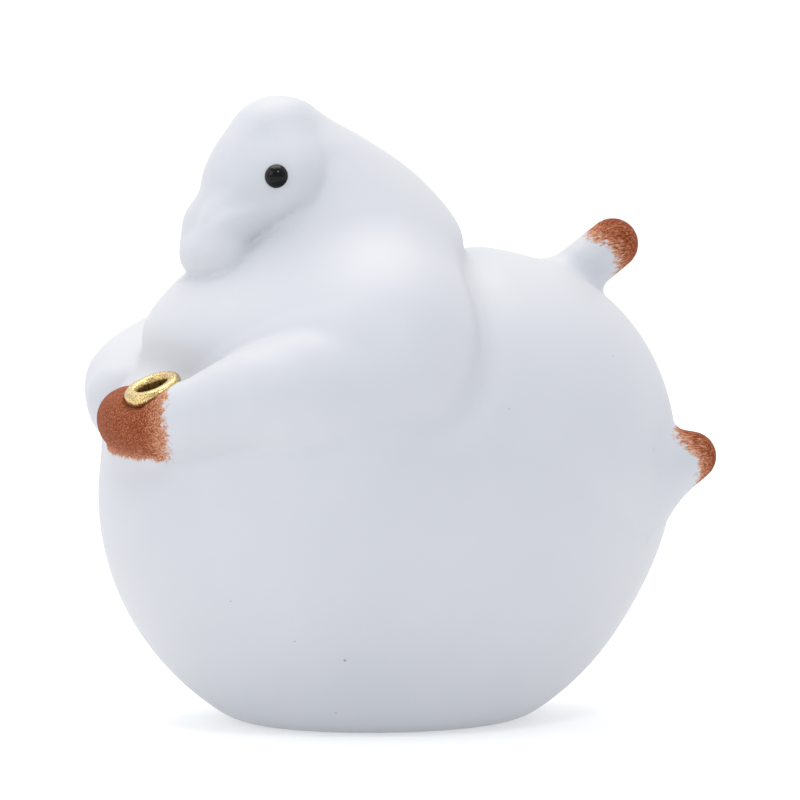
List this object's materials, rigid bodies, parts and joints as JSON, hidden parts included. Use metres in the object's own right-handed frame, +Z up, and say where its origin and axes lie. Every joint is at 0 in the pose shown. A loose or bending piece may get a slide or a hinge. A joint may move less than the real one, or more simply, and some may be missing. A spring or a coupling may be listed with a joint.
{
  "type": "horse incense holder",
  "caption": "Round ceramic horse sitting on a flat foot, forelegs around its belly, with a brass ring on the left hoof that holds an incense stick upright.",
  "frame": {"origin": "middle of the flat foot, on the surface it stands on", "axes": "+Z up, -X the way the horse faces, -Y the horse's left side with the brass ring"},
  "size_m": [0.0755, 0.063, 0.0771],
  "materials": {
    "white_ceramic": "satin white slip-cast clay",
    "brass": "softly polished",
    "black_glaze": "glossy black bead"
  },
  "bodies": {
    "root": {"horse_body": "white_ceramic", "incense_ferrule": "brass", "eye_left": "black_glaze", "eye_right": "black_glaze"}
  },
  "joints": []
}
